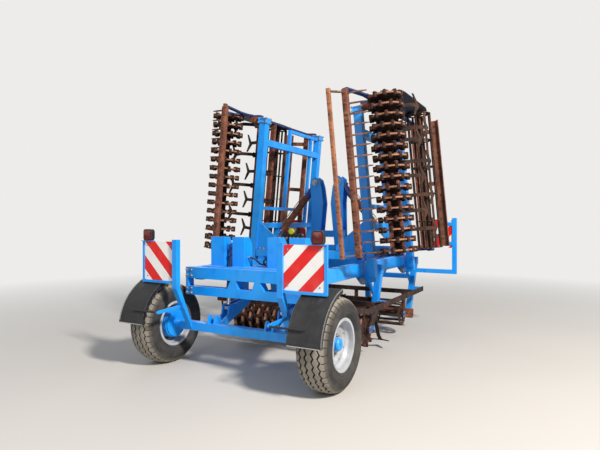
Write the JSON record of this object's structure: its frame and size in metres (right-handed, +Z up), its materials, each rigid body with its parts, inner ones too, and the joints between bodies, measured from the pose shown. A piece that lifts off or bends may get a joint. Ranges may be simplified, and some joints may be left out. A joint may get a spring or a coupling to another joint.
{
  "type": "seedbed cultivator",
  "caption": "Semi-mounted folding seedbed cultivator: tines between a toothed ring roller and a cage roller, on a swinging transport axle.",
  "frame": {"origin": "on the ground below the middle of the machine's box", "axes": "+Y forward, towards the hitch; +X to the machine's right; +Z up"},
  "size_m": [3.02, 4.8296, 3.1414],
  "materials": {
    "paint_blue": "azure machine paint, dusty, chipped at edges",
    "paint_navy": "older, darker blue paint with rust at the edges",
    "rust_steel": "evenly rusted rolled steel",
    "cast_rings": "rusted cast iron with soil in the hollows",
    "rust_rods": "rusted flat bars",
    "tine_steel": "spring steel, rusty with worn tips",
    "shield_dark": "dark painted sheet",
    "tyre_rubber": "dusty black rubber",
    "rim_grey": "light grey wheel paint",
    "sign_film": "red and white reflective film on sheet",
    "lamp_plastic": "red lens in a black housing",
    "guard_plastic": "black moulded plastic, weathered",
    "cylinder_blue": "blue paint",
    "rod_steel": "hard chrome with rust spots",
    "valve_black": "black painted valve sections with zinc coils",
    "hose_rubber": "black rubber hose",
    "zinc_steel": "zinc-plated hose fittings"
  },
  "bodies": {
    "frame": {"main_frame": "paint_blue", "rear_frame": "paint_blue", "ram_deck": "paint_blue", "tower": "paint_blue", "tower_core": "paint_blue", "drawbar": "paint_blue", "front_brackets": "paint_blue", "front_signs": "sign_film", "valve_block": "valve_black", "hose_left": "hose_rubber", "hose_right": "hose_rubber", "hose_fittings": "zinc_steel", "drop_legs": "paint_blue", "section_centre": "paint_navy", "tines_centre": "tine_steel", "comb_centre": "rust_steel", "level_board_centre": "rust_steel"},
    "hitch": {"hitch_yoke": "paint_blue"},
    "leg": {"parking_leg": "paint_blue"},
    "axle": {"axle_beam": "paint_blue", "sign_posts": "paint_blue", "rear_signs": "sign_film", "tail_lamps": "lamp_plastic", "mudguards": "guard_plastic"},
    "ring_centre": {"ring_roller_centre": "cast_rings"},
    "cage_centre": {"cage_roller_centre": "rust_rods"},
    "wing_right": {"wing_frame_right": "paint_blue", "section_right": "paint_navy", "tines_right": "tine_steel", "comb_right": "rust_steel", "level_board_right": "rust_steel", "end_plate_right": "shield_dark"},
    "wheel_right": {"tyre_right": "tyre_rubber", "rim_right": "rim_grey", "hub_right": "paint_blue"},
    "ring_right": {"ring_roller_right": "cast_rings"},
    "cage_right": {"cage_roller_right": "rust_rods"},
    "fold_barrel_right": {"fold_barrel_right": "cylinder_blue"},
    "fold_rod_right": {"fold_rod_right": "rod_steel"},
    "axle_barrel_right": {"axle_barrel_right": "cylinder_blue"},
    "axle_rod_right": {"axle_rod_right": "rod_steel"},
    "wing_left": {"wing_frame_left": "paint_blue", "section_left": "paint_navy", "tines_left": "tine_steel", "comb_left": "rust_steel", "level_board_left": "rust_steel", "end_plate_left": "shield_dark"},
    "wheel_left": {"tyre_left": "tyre_rubber", "rim_left": "rim_grey", "hub_left": "paint_blue"},
    "ring_left": {"ring_roller_left": "cast_rings"},
    "cage_left": {"cage_roller_left": "rust_rods"},
    "fold_barrel_left": {"fold_barrel_left": "cylinder_blue"},
    "fold_rod_left": {"fold_rod_left": "rod_steel"},
    "axle_barrel_left": {"axle_barrel_left": "cylinder_blue"},
    "axle_rod_left": {"axle_rod_left": "rod_steel"}
  },
  "joints": [
    {"name": "hitch_swivel", "type": "hinge", "parent": "frame", "child": "hitch", "pos_m": [0, 2.17485, 0.65], "axis": [0, 0, 1], "range_deg": [-60, 60]},
    {"name": "leg_slide", "type": "slide", "parent": "frame", "child": "leg", "axis": [0, 0, 1], "range_m": [0, 0.33]},
    {"name": "axle_swing", "type": "hinge", "parent": "frame", "child": "axle", "pos_m": [0, -1.29515, 0.66], "axis": [-1, 0, 0], "range_deg": [0, 25]},
    {"name": "ring_centre_spin", "type": "hinge", "parent": "frame", "child": "ring_centre", "pos_m": [0, -0.61515, 0.325], "axis": [1, 0, 0], "continuous": true},
    {"name": "cage_centre_spin", "type": "hinge", "parent": "frame", "child": "cage_centre", "pos_m": [0, 0.67485, 0.3], "axis": [1, 0, 0], "continuous": true},
    {"name": "wing_fold_right", "type": "hinge", "parent": "frame", "child": "wing_right", "pos_m": [0.78, 0.42485, 0.87], "axis": [0, 1, 0], "range_deg": [0, 95.35]},
    {"name": "ring_right_spin", "type": "hinge", "parent": "wing_right", "child": "ring_right", "pos_m": [1.21074, -0.61515, 2.11559], "axis": [-0.0932, 0, 0.9956], "continuous": true},
    {"name": "cage_right_spin", "type": "hinge", "parent": "wing_right", "child": "cage_right", "pos_m": [1.23563, 0.67485, 2.11792], "axis": [-0.0932, 0, 0.9956], "continuous": true},
    {"name": "wheel_spin_right", "type": "hinge", "parent": "axle", "child": "wheel_right", "pos_m": [1.038, -1.87515, 0.445], "axis": [1, 0, 0], "continuous": true},
    {"name": "fold_barrel_tilt_right", "type": "hinge", "parent": "frame", "child": "fold_barrel_right", "pos_m": [0.18, 0.22485, 2.15], "axis": [0, 1, 0], "range_deg": [0, 3.8]},
    {"name": "fold_rod_slide_right", "type": "slide", "parent": "fold_barrel_right", "child": "fold_rod_right", "axis": [0.6531, 0, -0.7573], "range_m": [0, 0.719]},
    {"name": "axle_barrel_tilt_right", "type": "hinge", "parent": "frame", "child": "axle_barrel_right", "pos_m": [0.37, -1.51515, 1.3], "axis": [-1, 0, 0], "range_deg": [0, 0.7]},
    {"name": "axle_rod_slide_right", "type": "slide", "parent": "axle_barrel_right", "child": "axle_rod_right", "axis": [0, -0.1312, -0.9914], "range_m": [-0.137, 0]},
    {"name": "wing_fold_left", "type": "hinge", "parent": "frame", "child": "wing_left", "pos_m": [-0.78, 0.42485, 0.87], "axis": [0, -1, 0], "range_deg": [0, 95.35]},
    {"name": "ring_left_spin", "type": "hinge", "parent": "wing_left", "child": "ring_left", "pos_m": [-1.21074, -0.61515, 2.11559], "axis": [0.0932, 0, 0.9956], "continuous": true},
    {"name": "cage_left_spin", "type": "hinge", "parent": "wing_left", "child": "cage_left", "pos_m": [-1.23563, 0.67485, 2.11792], "axis": [0.0932, 0, 0.9956], "continuous": true},
    {"name": "wheel_spin_left", "type": "hinge", "parent": "axle", "child": "wheel_left", "pos_m": [-1.038, -1.87515, 0.445], "axis": [1, 0, 0], "continuous": true},
    {"name": "fold_barrel_tilt_left", "type": "hinge", "parent": "frame", "child": "fold_barrel_left", "pos_m": [-0.18, 0.22485, 2.15], "axis": [0, -1, 0], "range_deg": [0, 3.8]},
    {"name": "fold_rod_slide_left", "type": "slide", "parent": "fold_barrel_left", "child": "fold_rod_left", "axis": [-0.6531, 0, -0.7573], "range_m": [0, 0.719]},
    {"name": "axle_barrel_tilt_left", "type": "hinge", "parent": "frame", "child": "axle_barrel_left", "pos_m": [-0.37, -1.51515, 1.3], "axis": [-1, 0, 0], "range_deg": [0, 0.7]},
    {"name": "axle_rod_slide_left", "type": "slide", "parent": "axle_barrel_left", "child": "axle_rod_left", "axis": [0, -0.1312, -0.9914], "range_m": [-0.137, 0]}
  ],
  "couplings": [
    {"joint": "fold_barrel_tilt_right", "follows": "wing_fold_right", "ratio": 0.0384},
    {"joint": "fold_rod_slide_right", "follows": "wing_fold_right", "m_per_rad": 0.43106},
    {"joint": "axle_barrel_tilt_right", "follows": "axle_swing", "ratio": 0.023497},
    {"joint": "axle_rod_slide_right", "follows": "axle_swing", "m_per_rad": -0.30976},
    {"joint": "fold_barrel_tilt_left", "follows": "wing_fold_left", "ratio": 0.0384},
    {"joint": "fold_rod_slide_left", "follows": "wing_fold_left", "m_per_rad": 0.43106},
    {"joint": "axle_barrel_tilt_left", "follows": "axle_swing", "ratio": 0.023497},
    {"joint": "axle_rod_slide_left", "follows": "axle_swing", "m_per_rad": -0.30976}
  ]
}
